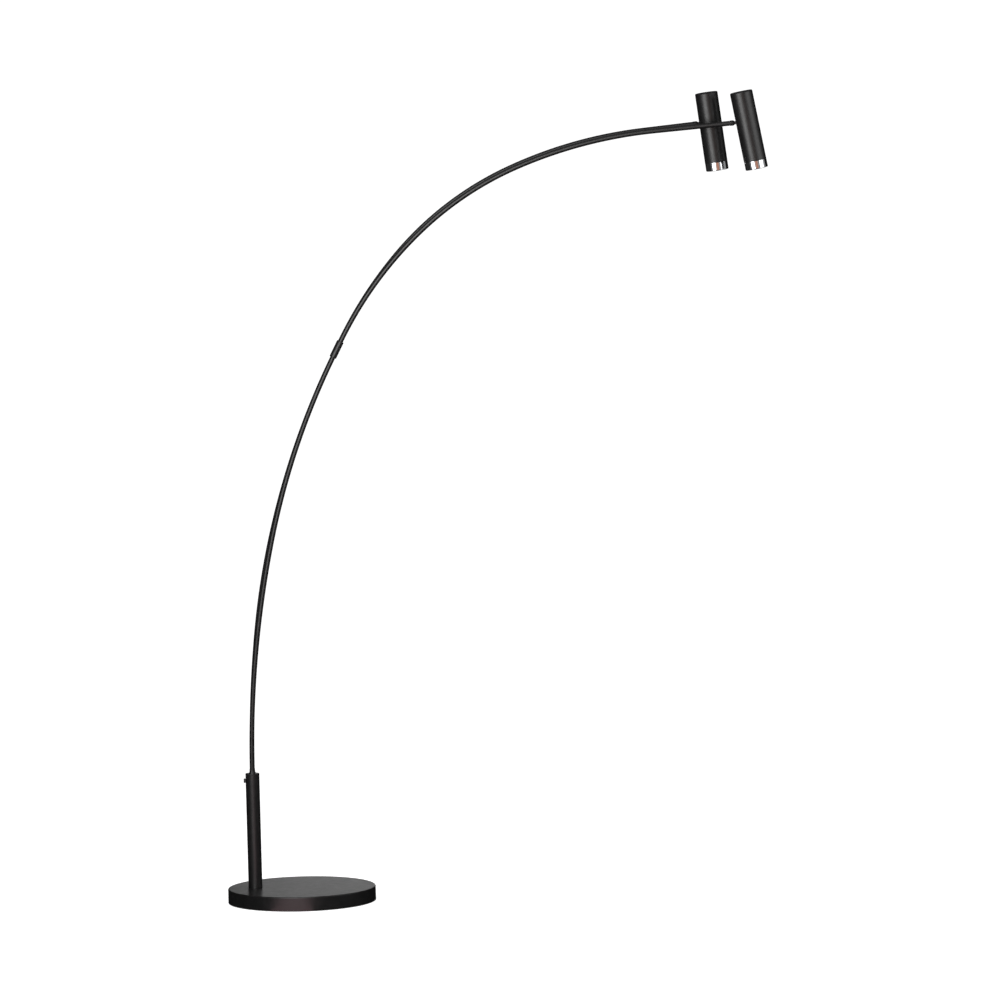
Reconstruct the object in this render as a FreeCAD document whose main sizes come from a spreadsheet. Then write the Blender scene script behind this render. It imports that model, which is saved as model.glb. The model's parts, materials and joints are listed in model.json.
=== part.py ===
import FreeCAD, Part
import math
import os
from types import SimpleNamespace

import Sketcher
from FreeCAD import Placement, Rotation, Vector

# Bridge floor lamp: a weighted disc carries a short pole, from whose top two thin tubes leave
# side by side in one long bow. Each tube ends in a cylinder spot head.
# Frame: origin on the floor at the centre of the base disc, +Z up, the arms reach along +X.
# Lengths are in millimetres and angles in degrees.

os.makedirs("parts", exist_ok=True)
doc = FreeCAD.newDocument("bridge_floor_lamp")
sheet = doc.addObject("Spreadsheet::Sheet", "sizes")


# ---------------------------------------------------------------------------------------------
# Driving dimensions
# ---------------------------------------------------------------------------------------------

SIZES = {
    # fits
    "running_clearance": 0.08,
    "press_clearance": 0.05,
    "face_gap": 0.2,
    # base disc
    "base_diameter": 360,
    "base_height": 36,
    "base_edge_radius": 2.5,
    "cover_thickness": 1.5,
    "cover_floor_gap": 1.5,
    "foot_inset": 8,
    "foot_thickness": 3,
    "weight_side_gap": 0.5,
    "weight_thickness": 16,
    "weight_rim_width": 12,
    "hub_diameter": 64,
    "nut_recess_diameter": 44,
    "nut_recess_depth": 14,
    "channel_width": 20,
    "channel_height": 18,
    # cord grommet in the side of the cover
    "grommet_bearing_angle": 135,
    "grommet_height": 12,
    "grommet_diameter": 12,
    "grommet_flange_diameter": 16,
    "grommet_flange_thickness": 1.2,
    "grommet_bore": 7,
    # pole and what fastens it to the base
    "pole_inset": 67,
    "pole_diameter": 34,
    "pole_wall": 1.5,
    "pole_length": 278,
    "foot_plug_length": 25,
    "nipple_diameter": 10,
    "nipple_bore": 6.5,
    "nipple_tail": 2,
    "bolt_hole_clearance": 0.3,
    "washer_diameter": 30,
    "washer_thickness": 2.5,
    "base_nut_across_flats": 17,
    "base_nut_height": 8,
    # clamp screw at the pole's top
    "clamp_drop": 17.7,
    "clamp_head_diameter": 11,
    "clamp_head_thickness": 4.4,
    "clamp_head_chamfer": 0.6,
    "clamp_socket_depth": 2.4,
    "clamp_slot_width": 1.2,
    "clamp_slot_depth": 1.4,
    "clamp_thread_diameter": 5,
    "insert_diameter": 8,
    "insert_reach": 1.1,
    # swivel plug in the pole's top
    "plug_flange_thickness": 3,
    "plug_flange_edge": 0.6,
    "plug_length": 48,
    "plug_groove_height": 12,
    "plug_groove_depth": 1.4,
    "socket_depth": 10.5,
    # arms
    "rod_diameter": 12,
    "rod_wall": 1,
    "rod_spacing": 17,
    "fan_angle": 1.2,
    "ferrule_height": 11,
    "ferrule_foot_diameter": 15.8,
    "ferrule_foot_height": 1.6,
    "ferrule_tip_diameter": 13,
    "coupler_diameter": 16.5,
    "coupler_length": 43,
    "coupler_edge": 0.5,
    "coupler_straight": 22,
    "spigot_bore": 5.8,
    "lead_diameter": 5,
    "lead_tail": 100,
    "block_width": 22,
    "block_depth": 12,
    "block_height": 20,
    "front_first_bend_radius": 2600,
    "front_first_bend_angle": 12.75,
    "front_second_bend_radius": 1840,
    "front_second_bend_angle": 14.5,
    "front_third_bend_radius": 938,
    "front_third_bend_angle": 20.3,
    "front_fourth_bend_radius": 796,
    "front_fourth_bend_angle": 20.3,
    "front_fifth_bend_radius": 1108,
    "front_fifth_bend_angle": 17.7,
    "front_end_straight": 205,
    "back_first_bend_radius": 3010,
    "back_first_bend_angle": 6.35,
    "back_second_bend_radius": 1953,
    "back_second_bend_angle": 20.8,
    "back_third_bend_radius": 1015,
    "back_third_bend_angle": 14.3,
    "back_fourth_bend_radius": 781,
    "back_fourth_bend_angle": 24.95,
    "back_fifth_bend_radius": 1069,
    "back_fifth_bend_angle": 18.2,
    "back_end_straight": 147,
    # knuckle between a rod's end and its head
    "collar_diameter": 13,
    "collar_length": 11.7,
    "collar_nose": 10,
    "collar_nose_radius": 5,
    "stud_shaft_diameter": 6.5,
    "stud_shaft_length": 9,
    "stud_flange_thickness": 1,
    "stud_root_length": 12,
    "stud_bore": 3,
    "stud_groove_depth": 0.6,
    "stud_groove_width": 3.4,
    "grub_diameter": 3,
    "tongue_thickness": 5,
    "tongue_height": 8,
    # tilt hinge inside the head
    "pivot_inset": 7.5,
    "pivot_diameter": 4,
    "pivot_head_diameter": 7,
    "pivot_head_thickness": 2.4,
    "pivot_nut_across_flats": 7,
    "pivot_nut_height": 3.2,
    "friction_washer_diameter": 9,
    "friction_washer_thickness": 0.45,
    "yoke_sheet": 1.5,
    "yoke_height": 18,
    "yoke_depth": 13.2,
    "yoke_wall_gap": 0.2,
    # spot head
    "head_diameter": 55,
    "head_wall": 1.5,
    "head_length": 190,
    "head_edge_radius": 3,
    "pivot_below_top": 72,
    "slot_width": 6,
    "slot_height": 22,
    "ring_height": 20,
    "ring_spigot_height": 6,
    "ring_bore": 50.8,
    "ring_edge": 0.6,
    "front_lean_angle": 10.4,
    "back_lean_angle": 7.0,
    # bulb and its holder
    "bulb_recess": 15,
    "bulb_diameter": 50,
    "bulb_rim_height": 4,
    "bulb_rim_width": 1.6,
    "bulb_taper_height": 27,
    "bulb_neck_diameter": 29,
    "bulb_neck_height": 16,
    "bulb_pin_diameter": 4.7,
    "bulb_pin_length": 6.5,
    "bulb_pin_spacing": 10,
    "lens_thickness": 2,
    "holder_diameter": 30,
    "holder_height": 18,
    "holder_plate_thickness": 1.5,
    "holder_plate_hole": 9,
    "holder_screw_diameter": 3,
    "holder_screw_head_diameter": 5.5,
    "holder_screw_head_thickness": 2,
    "holder_screw_length": 7,
    "holder_screw_spacing": 20,
}


class Size:
    """A number together with the sheet formula that gives it."""

    def __init__(self, number, formula):
        self.number = number
        self.formula = formula

    def _join(self, other, sign, number):
        text = other.formula if isinstance(other, Size) else repr(float(other))
        return Size(number, "(%s %s %s)" % (self.formula, sign, text))

    def __add__(self, other):
        return self._join(other, "+", self.number + number_of(other))

    def __sub__(self, other):
        return self._join(other, "-", self.number - number_of(other))

    def __mul__(self, other):
        return self._join(other, "*", self.number * number_of(other))

    def __truediv__(self, other):
        return self._join(other, "/", self.number / number_of(other))

    def __neg__(self):
        return Size(-self.number, "(0 - %s)" % self.formula)


def number_of(size):
    return size.number if isinstance(size, Size) else float(size)


ZERO = Size(0.0, "0")

for row, (alias, number) in enumerate(SIZES.items(), start=1):
    sheet.set("A%d" % row, alias)
    sheet.set("B%d" % row, str(number))
    sheet.setAlias("B%d" % row, alias)
doc.recompute()

lamp = SimpleNamespace(**{alias: Size(float(number), "sizes." + alias) for alias, number in SIZES.items()})


def bend(name):
    """One bend of a rod: the radius of its centre line and how far it turns."""
    return getattr(lamp, name + "_radius"), getattr(lamp, name + "_angle")


front_lower_bends = [bend("front_first_bend"), bend("front_second_bend")]
front_upper_bends = [bend("front_third_bend"), bend("front_fourth_bend"), bend("front_fifth_bend")]
back_lower_bends = [bend("back_first_bend"), bend("back_second_bend")]
back_upper_bends = [bend("back_third_bend"), bend("back_fourth_bend"), bend("back_fifth_bend")]


# ---------------------------------------------------------------------------------------------
# Ways of making a piece
# ---------------------------------------------------------------------------------------------

ALONG_X = Rotation(Vector(0, 1, 0), 90)
ALONG_MINUS_X = Rotation(Vector(0, 1, 0), -90)
ALONG_Y = Rotation(Vector(1, 0, 0), -90)
UPRIGHT = Rotation()


def at(x=0.0, y=0.0, z=0.0, turn=UPRIGHT):
    return Placement(Vector(number_of(x), number_of(y), number_of(z)), turn)


def new_body(label, placement):
    body = doc.addObject("PartDesign::Body", label)
    body.Label = label
    body.Placement = placement
    return body


def origin_plane(body, role):
    return next(plane for plane in body.Origin.OriginFeatures if plane.Role == role)


def new_sketch(body, name, role):
    sketch = body.newObject("Sketcher::SketchObject", name)
    sketch.AttachmentSupport = [(origin_plane(body, role), "")]
    sketch.MapMode = "FlatFace"
    return sketch


def constrain(sketch, formula, *constraint):
    index = sketch.addConstraint(Sketcher.Constraint(*constraint))
    sketch.setExpression("Constraints[%d]" % index, formula)


def pin_point(sketch, line, end, across, along):
    """Hold one end of a line at two signed distances from the origin."""
    for kind, axis, size in (("DistanceX", -2, across), ("DistanceY", -1, along)):
        if size is ZERO:
            sketch.addConstraint(Sketcher.Constraint("PointOnObject", line, end, axis))
        else:
            constrain(sketch, size.formula, kind, -1, 1, line, end, size.number)


def turned(label, outline, placement):
    """A body turned about its Z axis from a closed outline of (radius, height) corners."""
    body = new_body(label, placement)
    sketch = new_sketch(body, label + "_outline", "XZ_Plane")
    corners = [Vector(across.number, along.number, 0) for across, along in outline]
    count = len(corners)
    for index in range(count):
        sketch.addGeometry(Part.LineSegment(corners[index], corners[(index + 1) % count]), False)
    for index in range(count):
        sketch.addConstraint(Sketcher.Constraint("Coincident", index, 2, (index + 1) % count, 1))
        pin_point(sketch, index, 1, *outline[index])
    revolution = body.newObject("PartDesign::Revolution", label + "_turning")
    revolution.Profile = sketch
    revolution.ReferenceAxis = (sketch, ["V_Axis"])
    revolution.Angle = 360
    doc.recompute()
    return body


def feature(body, kind, name, placement, **sizes):
    """A box, cylinder or prism added to or taken from a body, with its sizes bound to the sheet."""
    shape = body.newObject("PartDesign::" + kind, name)
    shape.AttachmentSupport = [(origin_plane(body, "XY_Plane"), "")]
    shape.MapMode = "FlatFace"
    shape.AttachmentOffset = placement
    for property_name, size in sizes.items():
        shape.setExpression(property_name, size.formula)
    doc.recompute()
    return shape


def add_cylinder(body, name, placement, diameter, length):
    return feature(body, "AdditiveCylinder", name, placement, Radius=diameter / 2, Height=length)


def drill(body, name, placement, diameter, depth):
    return feature(body, "SubtractiveCylinder", name, placement, Radius=diameter / 2, Height=depth)


def add_box(body, name, corner, length, width, height):
    return feature(body, "AdditiveBox", name, corner, Length=length, Width=width, Height=height)


def mill(body, name, corner, length, width, height):
    return feature(body, "SubtractiveBox", name, corner, Length=length, Width=width, Height=height)


def add_hexagon(body, name, placement, across_flats, height):
    corner_radius = across_flats / math.sqrt(3)
    return feature(body, "AdditivePrism", name, placement, Circumradius=corner_radius, Height=height)


def circle_names(shape, radius, height):
    """Names of the circular edges about the Z axis with one radius and one height."""
    names = []
    for index, edge in enumerate(shape.Edges):
        if not isinstance(edge.Curve, Part.Circle):
            continue
        same_radius = abs(edge.Curve.Radius - radius.number) < 1e-4
        centre = edge.Curve.Center
        on_axis = math.hypot(centre.x, centre.y) < 1e-4
        if same_radius and on_axis and abs(centre.z - height.number) < 1e-4:
            names.append("Edge%d" % (index + 1))
    return names


def dress(body, kind, name, radius, height, property_name, size):
    """Round or chamfer the circular edges at one radius and height of a turned body."""
    base = body.Tip
    names = circle_names(base.Shape, radius, height)
    assert names, "no edge for " + name
    edging = body.newObject("PartDesign::" + kind, name)
    edging.Base = (base, names)
    edging.setExpression(property_name, size.formula)
    doc.recompute()


def round_edge(body, name, radius, height, size):
    dress(body, "Fillet", name, radius, height, "Radius", size)


def chamfer_edge(body, name, radius, height, size):
    dress(body, "Chamfer", name, radius, height, "Size", size)


def ring(inner_diameter, outer_diameter, bottom, top):
    """Outline of a plain ring or tube."""
    inside, outside = inner_diameter / 2, outer_diameter / 2
    return [(inside, bottom), (outside, bottom), (outside, top), (inside, top)]


# ---------------------------------------------------------------------------------------------
# Centre lines: a path starts at the origin along +Z and bends towards +X
# ---------------------------------------------------------------------------------------------

def walk(path):
    """Corners of a path in its own plane, as (x, z, heading) before each step and at the end."""
    x, z, heading = 0.0, 0.0, 0.0
    stations = [(x, z, heading)]
    for step in path:
        if isinstance(step, tuple):
            radius, turn = step[0].number, math.radians(step[1].number)
            x += radius * (math.cos(heading) - math.cos(heading + turn))
            z += radius * (math.sin(heading + turn) - math.sin(heading))
            heading += turn
        else:
            x += step.number * math.sin(heading)
            z += step.number * math.cos(heading)
        stations.append((x, z, heading))
    return stations


def end_of(path):
    """Placement at a path's end, with +Z along the path's last direction."""
    x, z, heading = walk(path)[-1]
    return at(x, 0, z, Rotation(Vector(0, 1, 0), math.degrees(heading)))


def draw_path(sketch, path):
    """Draw straights and tangent arcs and hold each by its length, radius and turn."""
    stations = walk(path)
    ends = []
    for index, step in enumerate(path):
        x, z, heading = stations[index]
        next_x, next_z, next_heading = stations[index + 1]
        start, end = Vector(x, z, 0), Vector(next_x, next_z, 0)
        if isinstance(step, tuple):
            radius = step[0].number
            centre = Vector(x + radius * math.cos(heading), z - radius * math.sin(heading), 0)
            circle = Part.Circle(centre, Vector(0, 0, 1), radius)
            arc = Part.ArcOfCircle(circle, math.pi - next_heading, math.pi - heading)
            line = sketch.addGeometry(arc, False)
            constrain(sketch, step[0].formula, "Radius", line, radius)
            turn = step[1].formula + " * 1 deg"
            constrain(sketch, turn, "Angle", line, math.radians(step[1].number))
            first, last = 2, 1
        else:
            line = sketch.addGeometry(Part.LineSegment(start, end), False)
            constrain(sketch, step.formula, "Distance", line, step.number)
            first, last = 1, 2
        if ends:
            sketch.addConstraint(Sketcher.Constraint("Tangent", ends[-1][0], ends[-1][1], line, first))
        else:
            sketch.addConstraint(Sketcher.Constraint("Coincident", line, first, -1, 1))
            sketch.addConstraint(Sketcher.Constraint("Vertical", line))
        ends.append((line, last))


def swept(label, path, diameters, placement):
    """A round bar or tube swept along a path that starts with a straight."""
    body = new_body(label, placement)
    route = new_sketch(body, label + "_route", "XZ_Plane")
    draw_path(route, path)
    section = new_sketch(body, label + "_section", "XY_Plane")
    for diameter in diameters:
        circle = Part.Circle(Vector(0, 0, 0), Vector(0, 0, 1), diameter.number / 2)
        line = section.addGeometry(circle, False)
        section.addConstraint(Sketcher.Constraint("Coincident", line, 3, -1, 1))
        constrain(section, diameter.formula, "Diameter", line, diameter.number)
    doc.recompute()
    pipe = body.newObject("PartDesign::AdditivePipe", label + "_pipe")
    pipe.Profile = section
    pipe.Spine = (route, ["Edge%d" % (index + 1) for index in range(len(path))])
    doc.recompute()
    return body


# ---------------------------------------------------------------------------------------------
# Base: foot pad, cast weight, spun cover, grommet
# ---------------------------------------------------------------------------------------------

cover_underside = lamp.base_height - lamp.cover_thickness
pole_offset = lamp.base_diameter / 2 - lamp.pole_inset
weight_radius = lamp.base_diameter / 2 - lamp.cover_thickness - lamp.weight_side_gap
weight_floor = lamp.foot_thickness
weight_top = weight_floor + lamp.weight_thickness
rim_inside = weight_radius - lamp.weight_rim_width
recess_ceiling = weight_floor + lamp.nut_recess_depth
bolt_hole = lamp.nipple_diameter + lamp.bolt_hole_clearance * 2
pole_foot = at(-pole_offset, 0, lamp.base_height)

grommet_side = Rotation(Vector(0, 0, 1), lamp.grommet_bearing_angle.number)
grommet_reach = lamp.base_diameter / 2
grommet_seat = grommet_side.multVec(Vector(grommet_reach.number, 0, lamp.grommet_height.number))
grommet_turn = grommet_side.multiply(ALONG_X)
grommet_place = Placement(grommet_seat, grommet_turn)


def make_foot_pad():
    edge = lamp.base_diameter / 2 - lamp.foot_inset
    outline = [(ZERO, ZERO), (edge, ZERO), (edge, lamp.foot_thickness), (ZERO, lamp.foot_thickness)]
    turned("foot_pad", outline, at())


def make_weight():
    outline = [
        (ZERO, weight_floor),
        (weight_radius, weight_floor),
        (weight_radius, cover_underside),
        (rim_inside, cover_underside),
        (rim_inside, weight_top),
        (ZERO, weight_top),
    ]
    weight = turned("base_weight", outline, at())
    hub_foot = at(-pole_offset, 0, weight_floor)
    hub_height = cover_underside - weight_floor
    add_cylinder(weight, "weight_hub", hub_foot, lamp.hub_diameter, hub_height)
    drill(weight, "weight_nut_recess", hub_foot, lamp.nut_recess_diameter, lamp.nut_recess_depth)
    drill(weight, "weight_bolt_hole", hub_foot, bolt_hole, hub_height)
    # the cord's channel runs from the nut's recess to the grommet
    start = Vector(-pole_offset.number, 0, weight_floor.number)
    across = Vector(grommet_seat.x, grommet_seat.y, weight_floor.number) - start
    bearing = Rotation(Vector(1, 0, 0), across)
    corner = Placement(start + bearing.multVec(Vector(0, -lamp.channel_width.number / 2, 0)), bearing)
    mill(weight, "weight_channel", corner, grommet_reach, lamp.channel_width, lamp.channel_height)


def make_cover():
    top_radius = lamp.base_diameter / 2
    inside = top_radius - lamp.cover_thickness
    outline = [
        (ZERO, lamp.base_height),
        (top_radius, lamp.base_height),
        (top_radius, lamp.cover_floor_gap),
        (inside, lamp.cover_floor_gap),
        (inside, cover_underside),
        (ZERO, cover_underside),
    ]
    cover = turned("base_cover", outline, at())
    round_edge(cover, "cover_outer_edge", top_radius, lamp.base_height, lamp.base_edge_radius)
    hole = at(-pole_offset, 0, cover_underside)
    drill(cover, "cover_bolt_hole", hole, bolt_hole, lamp.cover_thickness)
    behind = Vector((inside - lamp.cover_thickness).number, 0, lamp.grommet_height.number)
    side_hole = Placement(grommet_side.multVec(behind), grommet_turn)
    drill(cover, "cover_grommet_hole", side_hole, lamp.grommet_diameter, lamp.cover_thickness * 3)


def make_grommet():
    # flat flanges stand off the round wall by its sagitta, and the shank fills the wall's hole
    half_bore, shank = lamp.grommet_bore / 2, lamp.grommet_diameter / 2 - lamp.press_clearance
    flange = lamp.grommet_flange_diameter / 2
    outer_face = lamp.face_gap
    inner_face = -lamp.cover_thickness - lamp.face_gap
    outline = [
        (half_bore, inner_face - lamp.grommet_flange_thickness),
        (flange, inner_face - lamp.grommet_flange_thickness),
        (flange, inner_face - lamp.face_gap),
        (shank, inner_face - lamp.face_gap),
        (shank, outer_face),
        (flange, outer_face),
        (flange, outer_face + lamp.grommet_flange_thickness),
        (half_bore, outer_face + lamp.grommet_flange_thickness),
    ]
    turned("cord_grommet", outline, grommet_place)


make_foot_pad()
make_weight()
make_cover()
make_grommet()


# ---------------------------------------------------------------------------------------------
# Pole, its fastening, and the clamp screw near its top
# ---------------------------------------------------------------------------------------------

pole_bore = lamp.pole_diameter - lamp.pole_wall * 2
plug_top = lamp.pole_length + lamp.face_gap + lamp.plug_flange_thickness
clamp_height = plug_top - lamp.clamp_drop
pole_radius = lamp.pole_diameter / 2

pole = turned("pole_tube", ring(pole_bore, lamp.pole_diameter, ZERO, lamp.pole_length), pole_foot)
drill(pole, "pole_insert_hole", at(-pole_radius - lamp.pole_wall, 0, clamp_height, ALONG_X),
      lamp.insert_diameter, lamp.pole_wall * 3)

foot_plug_bore = lamp.nipple_diameter + lamp.press_clearance * 2
foot_plug_diameter = pole_bore - lamp.press_clearance * 2
turned("pole_foot_plug", ring(foot_plug_bore, foot_plug_diameter, ZERO, lamp.foot_plug_length), pole_foot)

washer_top = recess_ceiling
nut_top = washer_top - lamp.washer_thickness
nut_bottom = nut_top - lamp.base_nut_height
nipple_top = lamp.base_height + lamp.foot_plug_length
turned("base_washer", ring(bolt_hole, lamp.washer_diameter, nut_top, washer_top), at(-pole_offset))
nipple_foot = nut_bottom - lamp.nipple_tail
turned("pole_nipple", ring(lamp.nipple_bore, lamp.nipple_diameter, nipple_foot, nipple_top),
       at(-pole_offset))


def make_nut(label, placement, across_flats, height, bore):
    nut = new_body(label, placement)
    add_hexagon(nut, label + "_hexagon", at(), across_flats, height)
    drill(nut, label + "_bore", at(), bore, height)


make_nut("base_nut", at(-pole_offset, 0, nut_bottom), lamp.base_nut_across_flats,
         lamp.base_nut_height, foot_plug_bore)

# the insert and the screw lie along -X, measured outwards from the pole's axis
clamp_place = at(-pole_offset, 0, lamp.base_height + clamp_height, ALONG_MINUS_X)
insert_bore = lamp.clamp_thread_diameter + lamp.running_clearance * 2
insert_outline = ring(insert_bore, lamp.insert_diameter - lamp.press_clearance * 2,
                      pole_bore / 2 - lamp.insert_reach, pole_radius - lamp.press_clearance)
turned("clamp_insert", insert_outline, clamp_place)


def make_clamp_screw():
    """A slotted knob pressed on a threaded stud whose tip runs in the plug's groove."""
    stud, head = lamp.clamp_thread_diameter / 2, lamp.clamp_head_diameter / 2
    tip = pole_bore / 2 - lamp.plug_groove_depth + lamp.face_gap
    seat = pole_radius + lamp.face_gap
    crown = seat + lamp.clamp_head_thickness
    stud_end = seat + lamp.clamp_socket_depth
    socket = stud + lamp.press_clearance
    turned("clamp_stud", [(ZERO, tip), (stud, tip), (stud, stud_end), (ZERO, stud_end)], clamp_place)
    outline = [
        (socket, seat),
        (head, seat),
        (head, crown),
        (ZERO, crown),
        (ZERO, stud_end),
        (socket, stud_end),
    ]
    knob = turned("clamp_knob", outline, clamp_place)
    chamfer_edge(knob, "clamp_crown_edge", head, crown, lamp.clamp_head_chamfer)
    chamfer_edge(knob, "clamp_seat_edge", head, seat, lamp.clamp_head_chamfer)
    corner = at(-lamp.clamp_head_diameter, -lamp.clamp_slot_width / 2, crown - lamp.clamp_slot_depth)
    slot_length, slot_reach = lamp.clamp_head_diameter * 2, lamp.clamp_slot_depth * 2
    mill(knob, "clamp_slot", corner, slot_length, lamp.clamp_slot_width, slot_reach)


make_clamp_screw()


# ---------------------------------------------------------------------------------------------
# Swivel plug: turns in the pole's top and holds both rods
# ---------------------------------------------------------------------------------------------

rod_bore = lamp.rod_diameter - lamp.rod_wall * 2
rod_seat_bore = lamp.rod_diameter + lamp.press_clearance * 2


def make_swivel_plug():
    shaft = pole_bore / 2 - lamp.running_clearance
    groove = shaft - lamp.plug_groove_depth
    groove_middle = -lamp.clamp_drop
    groove_top = groove_middle + lamp.plug_groove_height / 2
    groove_bottom = groove_middle - lamp.plug_groove_height / 2
    flange_underside = -lamp.plug_flange_thickness
    bottom = -lamp.plug_length
    outline = [
        (ZERO, bottom),
        (shaft, bottom),
        (shaft, groove_bottom),
        (groove, groove_bottom),
        (groove, groove_top),
        (shaft, groove_top),
        (shaft, flange_underside),
        (pole_radius, flange_underside),
        (pole_radius, ZERO),
        (ZERO, ZERO),
    ]
    plug = turned("swivel_plug", outline, at(-pole_offset, 0, lamp.base_height + plug_top))
    round_edge(plug, "plug_flange_rim", pole_radius, ZERO, lamp.plug_flange_edge)
    for name, side in (("front", -1), ("back", 1)):
        middle = lamp.rod_spacing * side / 2
        socket = at(0, middle, -lamp.socket_depth)
        drill(plug, name + "_rod_socket", socket, rod_seat_bore, lamp.socket_depth)
        drill(plug, name + "_lead_hole", at(0, middle, bottom), rod_bore, lamp.plug_length)


make_swivel_plug()


# ---------------------------------------------------------------------------------------------
# Arms: each lies in its own upright plane, fanned a little away from the other
# ---------------------------------------------------------------------------------------------

# from the tilt pivot back to the rod's end face
rod_end_setback = lamp.collar_nose + lamp.collar_length + lamp.face_gap + lamp.stud_flange_thickness


def make_arm(name, side, lower_bends, upper_bends, end_straight):
    """Both rods of one arm with their ferrule, coupler, spigot, stud and lead; gives the pivot."""
    foot = at(-pole_offset, lamp.rod_spacing * side / 2, lamp.base_height + plug_top,
              Rotation(Vector(0, 0, 1), lamp.fan_angle.number * side))
    in_socket = foot.multiply(at(0, 0, -lamp.socket_depth))

    lower_path = [lamp.socket_depth] + lower_bends + [lamp.coupler_straight]
    joint = in_socket.multiply(end_of(lower_path))
    upper_path = [lamp.coupler_straight] + upper_bends + [end_straight - rod_end_setback]
    rod_end = joint.multiply(end_of(upper_path))
    pivot = rod_end.multiply(at(0, 0, rod_end_setback))

    half_foot, half_tip = lamp.ferrule_foot_diameter / 2, lamp.ferrule_tip_diameter / 2
    ferrule_outline = [
        (rod_seat_bore / 2, ZERO),
        (half_foot, ZERO),
        (half_foot, lamp.ferrule_foot_height),
        (half_tip, lamp.ferrule_height),
        (rod_seat_bore / 2, lamp.ferrule_height),
    ]
    turned(name + "_ferrule", ferrule_outline, foot)
    swept(name + "_lower_rod", lower_path, [lamp.rod_diameter, rod_bore], in_socket)

    half_length = lamp.coupler_length / 2
    coupler_outline = ring(rod_seat_bore, lamp.coupler_diameter, -half_length, half_length)
    coupler = turned(name + "_coupler", coupler_outline, joint)
    for end, height in (("top", half_length), ("bottom", -half_length)):
        edge = "%s_coupler_%s_edge" % (name, end)
        chamfer_edge(coupler, edge, lamp.coupler_diameter / 2, height, lamp.coupler_edge)
    spigot_outline = ring(lamp.spigot_bore, rod_bore - lamp.press_clearance * 2, -half_length, half_length)
    turned(name + "_spigot", spigot_outline, joint)
    swept(name + "_upper_rod", upper_path, [lamp.rod_diameter, rod_bore], joint)

    root = rod_bore / 2 - lamp.press_clearance
    flange, shaft = lamp.rod_diameter / 2, lamp.stud_shaft_diameter / 2
    groove = shaft - lamp.stud_groove_depth
    shaft_end = lamp.stud_flange_thickness + lamp.stud_shaft_length
    groove_middle = rod_end_setback - lamp.collar_nose - lamp.collar_length / 2
    stud_outline = [
        (lamp.stud_bore / 2, -lamp.stud_root_length),
        (root, -lamp.stud_root_length),
        (root, ZERO),
        (flange, ZERO),
        (flange, lamp.stud_flange_thickness),
        (shaft, lamp.stud_flange_thickness),
        (shaft, groove_middle - lamp.stud_groove_width / 2),
        (groove, groove_middle - lamp.stud_groove_width / 2),
        (groove, groove_middle + lamp.stud_groove_width / 2),
        (shaft, groove_middle + lamp.stud_groove_width / 2),
        (shaft, shaft_end),
        (lamp.stud_bore / 2, shaft_end),
    ]
    turned(name + "_swivel_stud", stud_outline, rod_end)

    lead_start = foot.multiply(at(0, 0, -lamp.lead_tail))
    last_straight = end_straight - rod_end_setback - lamp.stud_root_length
    middle_straight = lamp.coupler_straight * 2
    lead_path = [lamp.lead_tail] + lower_bends + [middle_straight] + upper_bends + [last_straight]
    swept(name + "_lead", lead_path, [lamp.lead_diameter], lead_start)
    return pivot


front_pivot = make_arm("front", -1, front_lower_bends, front_upper_bends, lamp.front_end_straight)
back_pivot = make_arm("back", 1, back_lower_bends, back_upper_bends, lamp.back_end_straight)

# the leads hang from the rods into the pole and end in the terminal block
block_floor = lamp.base_height + plug_top - lamp.lead_tail - lamp.block_height
block = new_body("terminal_block", at(-pole_offset, 0, block_floor))
add_box(block, "terminal_block_housing", at(-lamp.block_depth / 2, -lamp.block_width / 2, 0),
        lamp.block_depth, lamp.block_width, lamp.block_height)


# ---------------------------------------------------------------------------------------------
# Knuckles: the collar turns on the stud, the tongue carries the head
# ---------------------------------------------------------------------------------------------

def make_knuckle(name, pivot):
    """In the pivot's frame +Z points out of the rod and Y is the tilt axis."""
    back_face = -lamp.collar_nose - lamp.collar_length
    nose = -lamp.collar_nose
    bore = lamp.stud_shaft_diameter / 2 + lamp.running_clearance
    bore_end = back_face + lamp.stud_shaft_length
    outside = lamp.collar_diameter / 2
    outline = [
        (bore, back_face),
        (outside, back_face),
        (outside, nose),
        (ZERO, nose),
        (ZERO, bore_end),
        (bore, bore_end),
    ]
    knuckle = turned(name + "_knuckle", outline, pivot)
    round_edge(knuckle, name + "_knuckle_nose", outside, nose, lamp.collar_nose_radius)
    neck = lamp.collar_nose + (lamp.collar_length - lamp.stud_shaft_length) / 2
    corner = at(-lamp.tongue_height / 2, -lamp.tongue_thickness / 2, -neck)
    add_box(knuckle, name + "_tongue", corner, lamp.tongue_height, lamp.tongue_thickness, neck)
    across = at(0, -lamp.tongue_thickness / 2, 0, ALONG_Y)
    add_cylinder(knuckle, name + "_tongue_eye", across, lamp.tongue_height, lamp.tongue_thickness)
    eye = lamp.pivot_diameter + lamp.running_clearance * 2
    drill(knuckle, name + "_pivot_eye", across, eye, lamp.tongue_thickness)
    grub_middle = back_face + lamp.collar_length / 2
    grub_hole = at(0, 0, grub_middle, ALONG_X)
    drill(knuckle, name + "_grub_hole", grub_hole, lamp.grub_diameter, lamp.collar_diameter)

    groove = lamp.stud_shaft_diameter / 2 - lamp.stud_groove_depth
    grub = new_body(name + "_knuckle_grub", pivot)
    inside = groove + lamp.running_clearance
    grub_length = outside - inside - lamp.running_clearance
    add_cylinder(grub, name + "_grub_thread", at(inside, 0, grub_middle, ALONG_X),
                 lamp.grub_diameter - lamp.press_clearance * 2, grub_length)


# ---------------------------------------------------------------------------------------------
# Spot heads: the head's frame has its axis along Z with the mouth at zero
# ---------------------------------------------------------------------------------------------

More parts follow.
